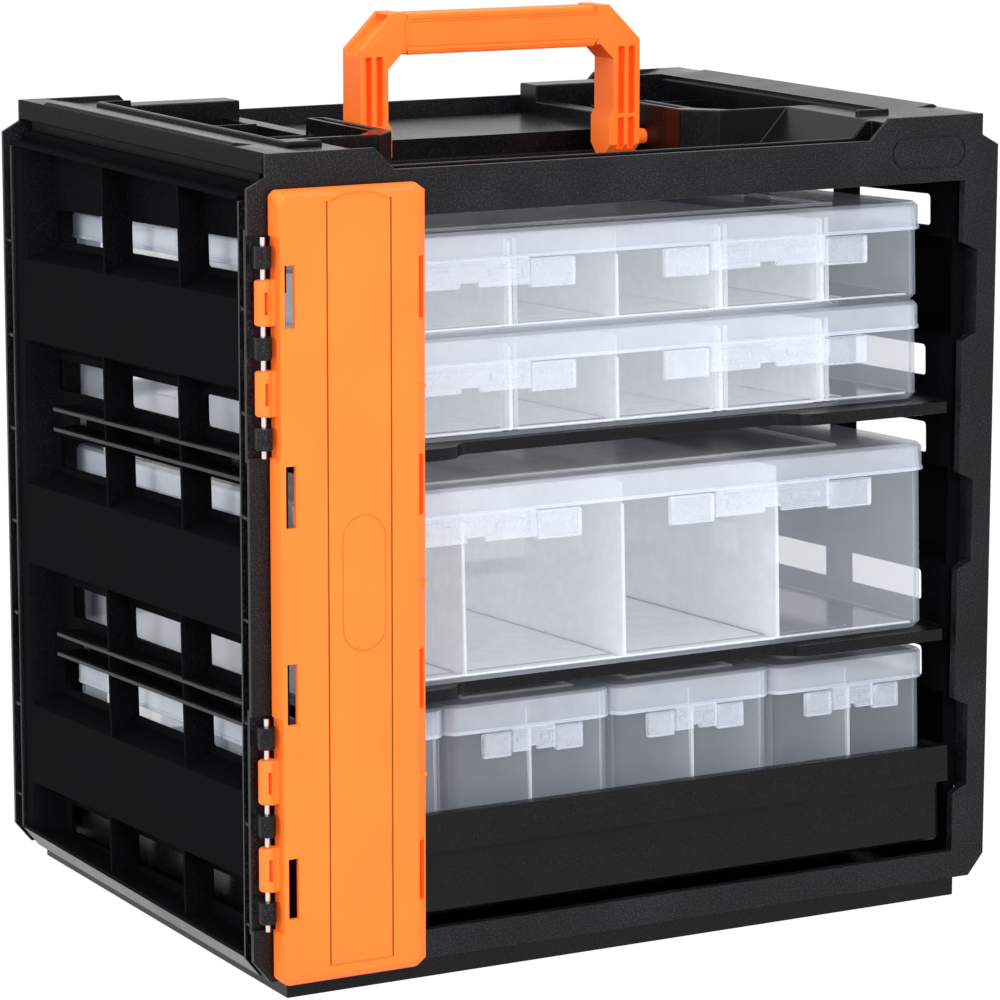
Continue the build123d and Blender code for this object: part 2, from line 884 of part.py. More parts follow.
def shallow_box(name, index):
    y, z = shallow_place(index)
    depth = box_reach(shallow_front + stack_step, shallow_height)
    rim = shallow_height - lid_plate - gap
    body = wide_base(depth, rim) + partition(0, depth, rim)
    blades = None
    for k in (-2, -1, 1, 2):
        x = k * box_half / 3
        body += guide_pair(x, depth, rim)
        blade = divider(x, depth, rim)
        blades = blade if blades is None else blades + blade
    save(tilted(body, y, z), name + "_base")
    save(tilted(blades, y, z), name + "_dividers")
    save_lid_and_latches(name, depth, shallow_height, y, z)


def deep_box(name):
    y = deep_front
    z = level_at(shelf_levels[0], y) + shelf_rise + gap
    depth = box_reach(y, deep_height)
    rim = deep_height - lid_plate - gap
    body = wide_base(depth, rim)
    for k in (-1, 0, 1):
        body += partition(k * box_half / 2, depth, rim)
    save(tilted(body, y, z), name + "_base")
    save_lid_and_latches(name, depth, deep_height, y, z)


def drawer_body():
    half = drawer_half - 1.0
    inner = half - drawer_wall
    start = band_step + drawer_wall
    outer = rounded_block(half, band_step, drawer_depth, 0, drawer_height, 4, 2)
    low = outer.faces().sort_by(Axis.Z)[0]
    body = chamfer(low.edges(), 2.0)
    body += clipped_block(drawer_half, band_step, drawer_depth + 1, drawer_height - 5, drawer_height, 3)
    band_low = drawer_height - band_height
    body += slab(-drawer_half, drawer_half, 0, band_depth, band_low, drawer_height)
    body -= clipped_block(inner, start, drawer_depth - drawer_wall, drawer_wall + 0.5, drawer_height + 1, 2)
    edge = drawer_half - 2
    body -= slab(-edge, edge, 2, band_step + 0.5, band_low - 1, drawer_height - 2)
    body += slab(-inner, inner, band_step, start, band_low, drawer_height)
    for k in range(bin_count - 1):
        x = (k + 1 - bin_count / 2) * bin_pitch
        body += slab(x - 0.7, x + 0.7, band_depth, drawer_depth - drawer_wall, drawer_wall, drawer_wall + 7)
    return tilted(body, drawer_front, drawer_bottom)


def small_bin(name, index):
    x = (index + 0.5 - bin_count / 2) * bin_pitch
    y = bin_front
    z = drawer_bottom - (y - drawer_front) * slope + drawer_wall + 0.5 + gap
    rim = bin_height - lid_plate - gap
    body = open_tub(bin_half, bin_depth, rim, bin_wall, bin_round, 1.6, bin_wall + 0.1, bin_flats)
    body += slab(-blade_half, blade_half, bin_wall - 0.2, bin_depth - bin_wall + 0.2, bin_wall, rim - 4)
    top = bin_height - lid_skirt - 1
    for x0 in (bin_latch_half + 0.8, -bin_latch_half - 0.8 - bin_lug):
        body += lug(x0, x0 + bin_lug, top, 12.0)
    lid = lid_shape(bin_half, bin_depth, lid_skirt + 1, bin_round, 1.4, bin_half * 0.7, 12, bin_flats)
    lid = Pos(0, 0, bin_height) * lid
    plate = Pos(0, 0, bin_height - lid_skirt) * latch(bin_latch_half, 12.0)
    save(Pos(x, 0, 0) * tilted(body, y, z), name + "_base")
    save(Pos(x, 0, 0) * tilted(lid, y, z), name + "_lid")
    save(Pos(x, 0, 0) * tilted(plate, y, z), name + "_latch")


def handle_outline():
    leg = handle_half - leg_width
    under = handle_top - bar_height
    foot = pivot_z - foot_half - 0.4
    half = [
        (handle_half, foot),
        (handle_half, handle_top - corner_cut),
        (handle_half - corner_cut, handle_top),
    ]
    inside = [
        (leg - foot_extra, foot),
        (leg - foot_extra, foot_top),
        (leg, foot_top + 4),
        (leg, under - grip_cut),
        (leg - grip_cut, under),
    ]
    return both_sides(half) + [(-x, z) for x, z in inside] + list(reversed(inside))


# Two open pockets in the front of the right leg, split by a centre rib and cross ribs
def leg_pockets():
    body = None
    front = handle_y - handle_thick / 2
    wide = (leg_width - 2 * leg_wall - leg_rib) / 2
    outer = handle_half - leg_wall
    spans = (
        (foot_top + 1.6, handle_top - bar_height - 1.7),
        (pivot_z - 5, foot_top - 0.4),
    )
    for x in (outer - wide, outer - 2 * wide - leg_rib):
        for low, high in spans:
            cut = slab(x, x + wide, front - 1, front + leg_pocket, low, high)
            body = cut if body is None else body + cut
    return body


# Open slot along the outside of the handle's upper corner, between a front and a back rim
def corner_slot():
    points = [
        (handle_half - corner_cut + 3, handle_top + 1),
        (handle_half + 1, handle_top - corner_cut + 3),
        (handle_half + 1, handle_top - corner_cut - 3),
        (handle_half - 3, handle_top - corner_cut - 2),
        (handle_half - corner_cut - 2, handle_top - 3.5),
    ]
    half = handle_thick / 2 - 3
    return along_y(points, handle_y - half, handle_y + half)


# The leg seen from the side, with its end clipped so that it turns about the pivot in the well
def leg_side():
    half = handle_thick / 2
    return [
        (handle_y - half, handle_top + 1),
        (handle_y - half, pivot_z - foot_clip),
        (handle_y - foot_clip, pivot_z - foot_half),
        (handle_y + foot_clip, pivot_z - foot_half),
        (handle_y + half, pivot_z - foot_clip),
        (handle_y + half, handle_top + 1),
    ]


def carry_handle():
    half = handle_thick / 2
    under = handle_top - bar_height
    grip_half = handle_half - leg_width - grip_cut - 2
    body = along_y(handle_outline(), handle_y - half, handle_y + half)
    body -= slab(-grip_half, grip_half, handle_y - half - 1, handle_y + half + 1, under - 2, handle_top + 2)
    grip = slab(-grip_half - 1, grip_half + 1, handle_y - half, handle_y + half, under, handle_top - 1.2)
    body += fillet(grip.edges().filter_by(Axis.X), grip_round)
    body -= leg_pockets()
    body -= mirrored(leg_pockets())
    body -= corner_slot()
    body -= mirrored(corner_slot())
    body &= along_x(leg_side(), -half_case, half_case)
    pin = cross_rod(handle_half - 1, well_half + deck_skin - gap, handle_y, pivot_z, pivot_r)
    body += pin
    body += mirrored(pin)
    return body


def clipped(left, right, low, high, cut_left, cut_right):
    return [
        (left + cut_left, low),
        (right - cut_right, low),
        (right, low + cut_right * 0.8),
        (right, high - cut_right * 0.7),
        (right - cut_right, high),
        (left + cut_left * 0.5, high),
        (left, high - cut_left * 0.5),
        (left, low + cut_left * 0.8),
    ]


def outline_at(points, y):
    return Plane(origin=(0, y, 0), x_dir=(1, 0, 0), z_dir=(0, -1, 0)) * face_of(points)


def door_solid(inset):
    left = door_left + inset
    right = door_right - inset
    low = door_bottom + inset
    high = door_top - inset
    back = clipped(left, right, low, high, 5.0, 5.0)
    front = clipped(left + 1.2, right - door_round_x, low + door_bevel, high - door_bevel, 4.5, 2.0)
    shoulder = door_front + door_round_y
    face = door_front + inset
    straight = along_y(back, shoulder + inset, door_back)
    nose = loft([outline_at(back, shoulder + inset), outline_at(front, face)], ruled=True)
    return straight + nose


# Filled arc from one side of the strip to the other, with its crown just below the door's top
def arch_solid(drop, y0, y1):
    foot = door_top - arch_drop - drop
    crown = door_top - 0.9 - drop
    middle = (strip_left + strip_right) / 2
    arc = ThreePointArc((strip_left, foot), (middle, crown), (strip_right, foot))
    plane = Plane(origin=(0, y1, 0), x_dir=(1, 0, 0), z_dir=(0, -1, 0))
    face = make_face(arc + Line((strip_right, foot), (strip_left, foot)))
    return extrude(plane * face, y1 - y0)


# Grooves that frame the middle strip
def strip_grooves():
    top = door_top - arch_drop
    half = groove_width / 2
    back = door_front + groove_depth
    body = slab(strip_left, strip_right, door_front - 1, back, strip_bottom - half, strip_bottom + half)
    for x in (strip_left, strip_right):
        body += slab(x - half, x + half, door_front - 1, back, strip_bottom, top)
    return body


def door_knuckle(z):
    low = z - knuckle_tall / 2
    arm = slab(hinge_x, door_left + 3, hinge_y - 2.6, hinge_y + 1.6, low, low + knuckle_tall)
    hole = rod(hinge_x, hinge_y, low, low + knuckle_tall, pin_r + pin_clearance)
    peep = slab(hinge_x - 1.0, hinge_x + 1.0, hinge_y - knuckle_r - 1, hinge_y, z - 5.4, z + 5.4)
    return knuckle_barrel(low, knuckle_tall) + arm, hole + peep


def door():
    hollow = door_solid(door_skin)
    body = door_solid(0.0) - (hollow + Pos(0, 3, 0) * hollow)
    left = door_left + 1
    right = door_right - 1
    for k in range(slot_count - 1):
        z = slot_levels[k] + slot_pitch / 2
        body += slab(left, right, door_front + 1.5, door_back - 5, z - 0.9, z + 0.9)
    for x in (strip_left, strip_right):
        body += slab(x - 1, x + 1, door_front + 1.5, door_front + 3.6, door_bottom + 3, door_top - 3)
    body += arch_solid(0, door_front, door_front + 5)
    arch = arch_solid(0.9, door_front - 1, door_front + 0.45)
    body -= arch - arch_solid(1.8, door_front - 2, door_front + 2)
    for z in slot_levels:
        low = z - slot_high / 2
        near = door_left + slot_offset
        far = door_right - slot_offset - 1.2
        body -= slab(near, near + slot_width, door_front - 1, door_back + 1, low, low + slot_high)
        body -= slab(far, far + 3.6, door_front - 1, door_back + 1, low, low + slot_high)
    body -= strip_grooves()
    oval_x = (strip_left + strip_right) / 2 + oval_offset
    oval_z = door_bottom + oval_low + oval_height / 2
    body -= oval_groove(oval_width, oval_height, door_front, 0.5, oval_x, oval_z, 0.8)
    edge = door_left + 1.5
    for group in hinge_group_z:
        low = group - hinge_pocket_half
        high = group + hinge_pocket_half
        body -= slab(door_left - 1, edge, door_front - 1, door_back + 1, low, high)
        body += slab(edge, edge + door_skin, door_front + 2, door_back, low, high)
        for way in (-1, 1):
            solid, hole = door_knuckle(group + way * knuckle_pitch / 2)
            body += solid
            body -= hole
    return body


def hinge_pin(group):
    reach = hinge_pocket_half - gap
    return rod(hinge_x, hinge_y, group - reach, group + reach, pin_r)


save(front_frame(), "front_frame")
save(back_frame(), "back_frame")
save(mirrored(side_panel(left_ribs)), "left_side_panel")
save(side_panel(right_ribs), "right_side_panel")
save(base(), "base")
save(top_deck(), "top_deck")
save(shelf(shelf_levels[0]), "lower_shelf")
save(shelf(shelf_levels[1]), "upper_shelf")
save(carry_handle(), "carry_handle")
save(door(), "door")
save(hinge_pin(hinge_group_z[0]), "hinge_pin_lower")
save(hinge_pin(hinge_group_z[1]), "hinge_pin_upper")
save(drawer_body(), "bottom_drawer")
shallow_box("middle_box", 0)
shallow_box("top_box", 1)
deep_box("deep_box")
for position, word in enumerate(("a", "b", "c", "d")):
    small_bin("bin_" + word, position)
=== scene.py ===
import json
import math
from collections import namedtuple

import bmesh
import bpy
from bpy.props import FloatProperty, FloatVectorProperty
from mathutils import Euler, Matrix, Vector
from mathutils.bvhtree import BVHTree
from mathutils.kdtree import KDTree


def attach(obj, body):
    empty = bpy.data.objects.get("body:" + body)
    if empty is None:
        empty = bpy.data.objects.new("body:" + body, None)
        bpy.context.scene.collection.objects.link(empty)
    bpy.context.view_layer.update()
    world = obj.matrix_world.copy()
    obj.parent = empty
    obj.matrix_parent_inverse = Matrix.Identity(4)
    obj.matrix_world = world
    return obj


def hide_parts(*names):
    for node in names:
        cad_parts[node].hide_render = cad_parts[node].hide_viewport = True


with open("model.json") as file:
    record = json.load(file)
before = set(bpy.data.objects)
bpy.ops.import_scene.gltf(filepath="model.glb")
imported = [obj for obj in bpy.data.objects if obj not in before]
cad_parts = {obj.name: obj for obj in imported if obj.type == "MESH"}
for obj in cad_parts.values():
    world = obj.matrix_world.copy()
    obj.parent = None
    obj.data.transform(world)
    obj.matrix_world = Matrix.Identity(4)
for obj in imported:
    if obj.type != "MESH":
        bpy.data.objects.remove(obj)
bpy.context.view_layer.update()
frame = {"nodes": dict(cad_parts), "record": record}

bl_info = {
    "name": "Tool Organizer",
    "version": (1, 0, 0),
    "blender": (4, 5, 0),
    "location": "3D View > Sidebar > Organizer",
    "description": "Dresses a storage rack with lidded boxes, a locking door and a folding handle",
    "category": "Object",
}

MM = 0.001
FACING = 0.9  # a face whose normal has more of an axis than this faces along that axis
NODES = frame["nodes"]
BODY_OF = {node: body for body, nodes in frame["record"]["behaviour"]["bodies"].items() for node in nodes}
SLOT_OF = {part["node"]: part["material_slot"] for part in frame["record"]["subparts"]}
WIDE_BOXES = ("top_box", "middle_box", "deep_box")
BINS = ("bin_a", "bin_b", "bin_c", "bin_d")


def reach(node, axis):
    """Lowest and highest place of a CAD node along an axis, which is 0, 1 or 2 for x, y or z."""
    places = [point.co[axis] for point in NODES[node].data.vertices]
    return min(places), max(places)


def span(node, axis):
    low, high = reach(node, axis)
    return high - low


# Sizes and colours that a user would change

def length(name, description, default, **limits):
    return FloatProperty(name=name, description=description, unit="LENGTH", default=default, **limits)


def colour(name, description, default):
    return FloatVectorProperty(
        name=name, description=description, subtype="COLOR", size=3, min=0, max=1, default=default,
    )


class CaseLook(bpy.types.PropertyGroup):
    plastic: colour("Case plastic", "Colour of the black mouldings", (0.0045, 0.0042, 0.0052))
    grain: length("Grain", "Width of one grain of the moulded texture", 0.8 * MM, min=0.05 * MM, max=3 * MM)
    edge: length("Edge radius", "Rounding of the case's moulded edges", 0.45 * MM, min=0.0, max=2 * MM)


class AccentLook(bpy.types.PropertyGroup):
    plastic: colour("Accent plastic", "Colour of the door and the handle", (1.0, 0.2, 0.022))
    edge: length("Edge radius", "Rounding of the accent pieces' edges", 0.6 * MM, min=0.0, max=2 * MM)


class ClearLook(bpy.types.PropertyGroup):
    plastic: colour("Clear plastic", "Tint of the frosted boxes", (0.82, 0.87, 0.965))
    cloud: FloatProperty(
        name="Cloudiness", description="How much one wall hides what is behind it", subtype="FACTOR",
        default=0.1, min=0.0, max=1.0,
    )
    edge: length("Edge radius", "Rounding of the boxes' edges", 0.3 * MM, min=0.0, max=2 * MM)


class StageLook(bpy.types.PropertyGroup):
    focal: FloatProperty(
        name="Focal length", description="Focal length on a 36 mm sensor, in millimetres",
        default=158.2, min=20, max=400,
    )
    lamp: FloatProperty(
        name="Lamp strength", description="Scale of all the studio lamps", default=1.0, min=0.0, max=10.0,
    )
    backdrop: colour("Backdrop", "Colour of the floor and of the background", (1.0, 1.0, 1.0))


class RackSizes(bpy.types.PropertyGroup):
    width: length("Width", "Over the frames", span("back_frame", 0))
    depth: length("Depth", "Front plate to back plate", 2 * reach("back_frame", 1)[1])
    tilt: FloatProperty(
        name="Tilt", description="Slope of the shelves", subtype="ANGLE", default=math.radians(2.5),
    )
    first_level: length("First level", "Height of the base level", reach("left_side_panel", 2)[0])
    pitch: length("Level pitch", "Height from level to level",
                  reach("upper_shelf", 2)[0] - reach("lower_shelf", 2)[0])
    box_half: length("Half box", "Half the width of a wide box", reach("deep_box_base", 0)[1])
    shallow_height: length("Shallow box", "Height with the lid", 50.4 * MM)
    shallow_depth: length("Shallow depth", "Front to back", 258 * MM)
    deep_height: length("Deep box", "Height with the lid", 96 * MM)
    deep_depth: length("Deep depth", "Front to back", 265.3 * MM)
    bin_half: length("Half bin", "Half the width of a bin", span("bin_a_base", 0) / 2)
    bin_pitch: length("Bin pitch", "From bin to bin", reach("bin_b_base", 0)[0] - reach("bin_a_base", 0)[0])
    bin_height: length("Bin height", "Height with the lid", 96.6 * MM)
    bin_depth: length("Bin depth", "Front to back", 240 * MM)


LOOKS = {"rack": RackSizes, "case": CaseLook, "accent": AccentLook, "clear": ClearLook, "stage": StageLook}


def look(name):
    return getattr(bpy.context.scene, "organizer_" + name)


# Shader maths

class Val:
    """A socket's value that can be used in sums."""

    def __init__(self, tree, socket):
        self.tree = tree
        self.socket = socket

    def math(self, kind, other):
        return NodeTree(self.tree).out("ShaderNodeMath", 0, {"operation": kind}, {0: self, 1: other})

    def __add__(self, other):
        return self.math("ADD", other)

    __radd__ = __add__

    def __mul__(self, other):
        return self.math("MULTIPLY", other)

    __rmul__ = __mul__


class NodeTree:
    """A tree of shader nodes, and the one method that adds to it."""

    def __init__(self, tree):
        self.tree = tree

    def node(self, kind, settings=None, sockets=None):
        """Add a node, make its settings, then give its sockets their values or links."""
        made = self.tree.nodes.new(kind)
        for key, value in (settings or {}).items():
            setattr(made, key, value)
        for key, value in (sockets or {}).items():
            self.feed(made.inputs[key], value)
        return made

    def out(self, kind, output, settings=None, sockets=None):
        return Val(self.tree, self.node(kind, settings, sockets).outputs[output])

    def feed(self, socket, value):
        if isinstance(value, Val):
            self.tree.links.new(value.socket, socket)
        else:
            socket.default_value = value


class Finish(NodeTree):
    """A material with one Principled shader."""

    def __init__(self, name):
        self.material = bpy.data.materials.new(name)
        self.material.use_nodes = True
        super().__init__(self.material.node_tree)
        self.shader = self.tree.nodes["Principled BSDF"]
        self.place = self.out("ShaderNodeTexCoord", "Object")

    def noise(self, width, detail=2.0, roughness=0.5):
        return self.out("ShaderNodeTexNoise", "Fac", sockets={
            "Vector": self.place, "Scale": 1.0 / width, "Detail": detail, "Roughness": roughness,
        })

    def ramp(self, value, low, high, to_low=0.0, to_high=1.0):
        return self.out("ShaderNodeMapRange", "Result", sockets={
            "Value": value, "From Min": low, "From Max": high, "To Min": to_low, "To Max": to_high,
        })

    def blend(self, factor, first, second):
        """Mix two colours. A Mix node has several sockets of one name, so its colour sockets go by number."""
        return self.out("ShaderNodeMix", 2, {"data_type": "RGBA"}, {
            0: factor, 6: (*first, 1.0), 7: (*second, 1.0),
        })

    def bump(self, height, strength, distance):
        sockets = {"Height": height, "Strength": strength, "Distance": distance}
        self.set(Normal=self.out("ShaderNodeBump", "Normal", sockets=sockets))

    def set(self, **inputs):
        for key, value in inputs.items():
            self.feed(self.shader.inputs[key.replace("_", " ")], value)


def shade(tint, factor):
    return tuple(min(1.0, part * factor) for part in tint)


def black_finish(name, grain_depth, gloss, shine, speck):
    """Black plastic: gloss is its mean roughness, shine its mirror share and speck the tone of its grains."""
    ink = look("case").plastic
    finish = Finish(name)
    grain = finish.noise(look("case").grain, 3.0, 0.6)
    cloud = finish.noise(45 * MM, 3.0, 0.55)
    raised = finish.ramp(cloud * 0.15 + grain * 0.85, 0.5, 0.66)
    finish.set(Base_Color=finish.blend(raised, shade(ink, 0.6), shade(ink, speck)),
               Roughness=finish.ramp(cloud * 0.6 + grain * 0.4, 0.3, 0.7, gloss - 0.06, gloss + 0.08),
               Specular_IOR_Level=shine)
    finish.bump(grain, grain_depth, 0.12 * MM)
    return finish.material


def accent_finish(name, glow, tone=1.0):
    """Orange plastic: glow is a painted red glow over every face for the light through its thin walls, and
    tone darkens a groove as painted shade.
    """
    tint = shade(look("accent").plastic, tone)
    # a painted red glow, sent out evenly by every face, lifts the shade of the orange
    painted_red_glow = (0.9, 0.06, 0.005, 1.0)
    finish = Finish(name)
    grain = finish.noise(0.5 * MM, 2.0, 0.5)
    cloud = finish.noise(38 * MM, 2.0, 0.5)
    finish.set(Base_Color=finish.blend(finish.ramp(cloud, 0.35, 0.7), shade(tint, 0.95), shade(tint, 1.05)),
               Roughness=finish.ramp(cloud, 0.3, 0.7, 0.42, 0.5),
               Specular_IOR_Level=0.3, Emission_Color=painted_red_glow, Emission_Strength=glow)
    finish.bump(grain, 0.12, 0.05 * MM)
    return finish.material


def clear_finish(name, share, grazing=1.0, glow=0.0, sheen=0.4):
    """Frosted plastic: share scales the cloudiness of a thin wall, and grazing is the tone painted where it
    is seen edge on, a painted reflection.

    Most of the light that reaches a wall passes on to what stands behind it, so a shadow is a faint one.
    Glow is a painted glow, paling the tint toward white and sent out as emission, for the light that a wall
    inside a box scatters out of its own thickness; sheen is a painted sheen, how much more of the haze shows
    when it is seen edge on.
    """
    haze = look("clear").plastic
    # painted glow: a glowing wall's haze is paled toward white and is also sent out as emission
    if glow:
        tint, white = 0.35, 0.6
        haze = tuple(tint * part + white for part in haze)
    finish = Finish(name)
    mottle = finish.noise(9 * MM, 3.0, 0.55)
    fresnel = finish.out("ShaderNodeLayerWeight", "Fresnel", sockets={"Blend": 0.33})
    # an edge-on mask that drives the painted reflection and the painted sheen
    mirror = finish.ramp(fresnel, 0.12, 0.42)
    cloud = look("clear").cloud * share
    # painted sheen: more of the haze shows where the wall is seen edge on
    veil = finish.ramp(mottle, 0.3, 0.7, cloud * 0.9, cloud * 1.1) + mirror * sheen
    in_shadow = finish.out("ShaderNodeLightPath", "Is Shadow Ray")
    # painted reflection: the base colour turns to the grazing tone where the wall is seen edge on
    finish.set(Base_Color=finish.blend(mirror, haze, shade(haze, grazing)),
               Alpha=veil * finish.ramp(in_shadow, 0.0, 1.0, 1.0, 0.3),
               Roughness=finish.ramp(mottle, 0.3, 0.7, 0.06, 0.13),
               Emission_Color=(*haze, 1.0), Emission_Strength=glow)
    return finish.material


def pin_finish(name):
    finish = Finish(name)
    streak = finish.noise(0.7 * MM)
    finish.set(Base_Color=(0.75, 0.75, 0.77, 1.0), Metallic=1.0,
               Roughness=finish.ramp(streak, 0.3, 0.7, 0.18, 0.32))
    return finish.material


FINISH_KINDS = {
    black_finish: {
        "black_plastic": {"grain_depth": 0.45, "gloss": 0.34, "shine": 0.21, "speck": 8.0},
        "smooth_black": {"grain_depth": 0.14, "gloss": 0.27, "shine": 0.18, "speck": 2.4},
        "satin_black": {"grain_depth": 0.4, "gloss": 0.5, "shine": 0.05, "speck": 4.0},
        "matt_black": {"grain_depth": 0.3, "gloss": 0.6, "shine": 0.01, "speck": 2.0},
    },
    accent_finish: {
        # an even painted red glow that lifts the shade of the door and the handle
        "orange_plastic": {"glow": 0.2},
        # a strong painted red glow on the inner faces of the door's slots
        "orange_slot": {"glow": 0.55},
        # painted shade in the door's two long grooves, with a faint painted glow
        "orange_groove": {"glow": 0.05, "tone": 0.4},
    },
    clear_finish: {
        "clear_plastic": {"share": 0.7},
        # a painted glow for the inner walls, floors and dividers
        "wall_plastic": {"share": 4.2, "glow": 0.1},
        "lid_plastic": {"share": 2.3},
        # a painted dark reflection where the lid's top is seen edge on
        "lid_top": {"share": 2.4, "grazing": 0.65},
        # a painted dark reflection and a painted sheen where the last floor is seen edge on
        "floor_plastic": {"share": 0.8, "grazing": 0.12, "sheen": 0.8},
        # a painted glow on the lid's raised frame
        "lid_frame": {"share": 4.5, "glow": 0.08},
        # a painted glow for the strips of painted highlight
        "edge_plastic": {"share": 3.0, "glow": 0.1},
        "latch_plastic": {"share": 2.8},
    },
    pin_finish: {"steel_pin": {}},
}
FINISHES = {}


def finish_for(name):
    if not FINISHES:
        for make, kinds in FINISH_KINDS.items():
            for kind, settings in kinds.items():
                FINISHES[kind] = make(kind, **settings)
    return FINISHES[name]


# Modelling helpers

def only(piece):
    bpy.ops.object.select_all(action="DESELECT")
    piece.select_set(True)
    bpy.context.view_layer.objects.active = piece


def apply(piece, kind, **settings):
    only(piece)
    added = piece.modifiers.new(kind.title(), kind)
    for key, value in settings.items():
        setattr(added, key, value)
    bpy.ops.object.modifier_apply(modifier=added.name)


def smooth(piece, degrees):
    """Shade smooth over every edge that turns by less than an angle."""
    only(piece)
    bpy.ops.object.shade_smooth_by_angle(angle=math.radians(degrees))


def joined(first, *others):
    only(first)
    for piece in others:
        piece.select_set(True)
    bpy.ops.object.join()
    return first


def paint(piece, slot, finish=None):
    piece.data.materials.clear()
    piece.data.materials.append(finish_for(finish or slot))


def paint_faces(piece, finish, chosen):
    """Give the chosen faces of a piece a second finish."""
    piece.data.materials.append(finish_for(finish))
    for face in piece.data.polygons:
        if chosen(face):
            face.material_index = len(piece.data.materials) - 1


def mark_edges(piece, chosen, left_out):
    """Mark for rounding the chosen edges that don't end in a corner that is left out."""
    mesh = bmesh.new()
    mesh.from_mesh(piece.data)
    weight = mesh.edges.layers.float.new("bevel_weight_edge")
    for edge in mesh.edges:
        ends = {point.index for point in edge.verts}
        edge[weight] = float(edge.is_manifold and chosen(edge) and not left_out & ends)
    mesh.to_mesh(piece.data)
    mesh.free()


def spoiled_corners(piece, shell, corners, radius):
    """Corners of the plain moulding at which the rounding has folded a face over or thrown a point out."""
    smallest_face = 0.002 * MM * MM
    near_corner = 4 * radius
    thrown_out = 0.6 * radius
    found = set()
    points = piece.data.vertices
    for face in piece.data.polygons:
        normal, away = shell.find_nearest(face.center)[1::2]
        if normal.dot(face.normal) < 0 and away < radius and face.area > smallest_face:
            nearest = (corners.find(points[index].co) for index in face.vertices)
            found.update(corner for place, corner, gap in nearest if gap < near_corner)
    for point in points:
        if shell.find_nearest(point.co)[3] > thrown_out:
            found.add(corners.find(point.co)[1])
    return found


def rounded(piece, radius, segments, chosen):
    """Round the chosen edges, but leave those sharp that can't be rounded without a fold."""
    tries = 6
    plain = piece.data.copy()
    shell = BVHTree.FromObject(piece, bpy.context.evaluated_depsgraph_get())
    corners = KDTree(len(plain.vertices))
    for point in plain.vertices:
        corners.insert(point.co, point.index)
    corners.balance()
    left_out = set()
    for _ in range(tries):
        piece.data = plain.copy()
        mark_edges(piece, chosen, left_out)
        apply(piece, "BEVEL", width=radius, segments=segments, limit_method="WEIGHT",
              use_clamp_overlap=False, miter_outer="MITER_ARC")
        found = spoiled_corners(piece, shell, corners, radius)
        if found <= left_out:
            break
        left_out |= found


def is_sharp(edge):
    return edge.calc_face_angle() > math.radians(38)


def is_window_corner(edge):
    """Whether an edge runs straight through the skin of a side wall at the corner of a window."""
    sizes = look("rack")
    shortest, straight = 1.5 * MM, 0.1 * MM
    skin_low, skin_high = sizes.width / 2 - 19 * MM, sizes.width / 2 - 14 * MM
    window_low, window_high = 11 * MM, 29 * MM
    first, second = (point.co for point in edge.verts)
    across = abs(first.x - second.x) > shortest and (first.yz - second.yz).length < straight
    in_skin = all(skin_low < abs(end.x) < skin_high for end in (first, second))
    over = min(abs(first.z - shelf_height(level, first.y + sizes.depth / 2)) for level in range(4))
    return across and in_skin and window_low < over < window_high


def moulded(node, radius, finish=None, segments=2):
    """A copy of a moulding with its sharp edges rounded as a mould leaves them."""
    source = NODES[node]
    piece = source.copy()
    piece.data = source.data.copy()
    piece.name = node + "_moulding"
    bpy.context.scene.collection.objects.link(piece)
    only(piece)
    flat = math.radians(0.5)
    bpy.ops.mesh.customdata_custom_splitnormals_clear()
    bpy.ops.object.mode_set(mode="EDIT")
    bpy.ops.mesh.select_all(action="SELECT")
    bpy.ops.mesh.remove_doubles(threshold=0.01 * MM)
    bpy.ops.mesh.beautify_fill(angle_limit=flat)
    bpy.ops.mesh.tris_convert_to_quads(face_threshold=flat, shape_threshold=math.radians(180))
    bpy.ops.object.mode_set(mode="OBJECT")
    if "side_panel" in node:
        window_round = 2.2 * MM
        rounded(piece, window_round, 4, is_window_corner)
    rounded(piece, radius, segments, is_sharp)
    piece.data.name = piece.name
    smooth(piece, 42)
    apply(piece, "WEIGHTED_NORMAL", keep_sharp=True, weight=60)
    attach(piece, BODY_OF[node])
    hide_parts(node)
    paint(piece, SLOT_OF[node], finish)
    return piece


def dress(nodes, radius, finish=None):
    for node in nodes:
        moulded(node, radius, finish)


def named(*words):
    return [node for node in sorted(NODES) if any(node.startswith(word) for word in words)]


def started(name, kind, **settings):
    """A new object in edit mode with its first mesh selected."""
    bpy.ops.object.select_all(action="DESELECT")
    getattr(bpy.ops.mesh, "primitive_" + kind + "_add")(**settings)
    piece = bpy.context.object
    piece.name = name
    piece.data.name = name
    bpy.ops.object.mode_set(mode="EDIT")
    bpy.ops.mesh.select_all(action="SELECT")
    return piece


def block(name, low, high, soft):
    """A block with soft edges, in edit mode with its whole mesh selected."""
    piece = started(name, "cube", size=1.0, location=(0, 0, 0))
    bpy.ops.transform.resize(value=tuple(b - a for a, b in zip(low, high)))
    bpy.ops.transform.translate(value=tuple((a + b) / 2 for a, b in zip(low, high)))
    bpy.ops.mesh.bevel(offset=soft, offset_type="OFFSET", segments=3, affect="EDGES")
    bpy.ops.mesh.select_all(action="SELECT")
    return piece


